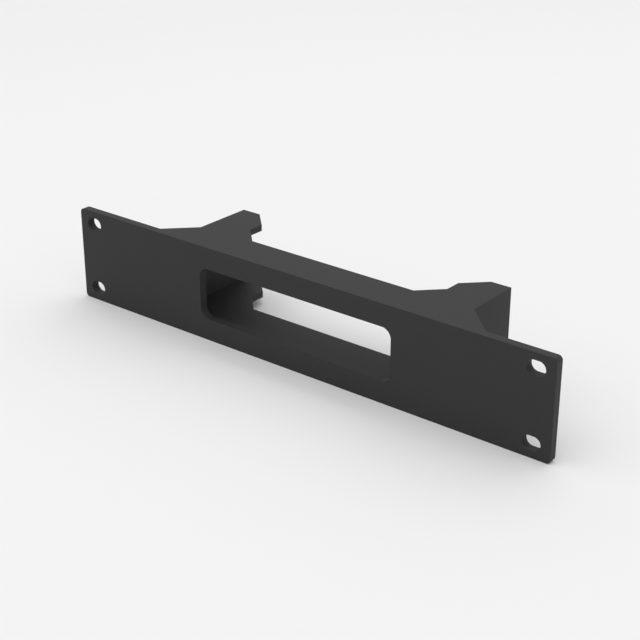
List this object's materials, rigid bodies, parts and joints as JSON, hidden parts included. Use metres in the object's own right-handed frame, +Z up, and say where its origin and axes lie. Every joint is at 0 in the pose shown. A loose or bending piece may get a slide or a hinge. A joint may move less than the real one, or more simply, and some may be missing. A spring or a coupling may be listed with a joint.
{
  "type": "rack mount panel",
  "caption": "Rack panel with slotted corners and a rounded window, in front of an open cage of notched plates and buttressed side walls that holds a small device.",
  "frame": {"origin": "middle of the panel's back face, which lies against the rack's rails, and middle of the slot pattern", "axes": "+X along the panel to the right as seen from the front, +Y into the rack, along the cage, +Z up"},
  "size_m": [0.254, 0.0542, 0.0444],
  "materials": {
    "black_plastic": "matte, very fine even grain"
  },
  "bodies": {
    "root": {"rack_panel": "black_plastic"}
  },
  "joints": []
}
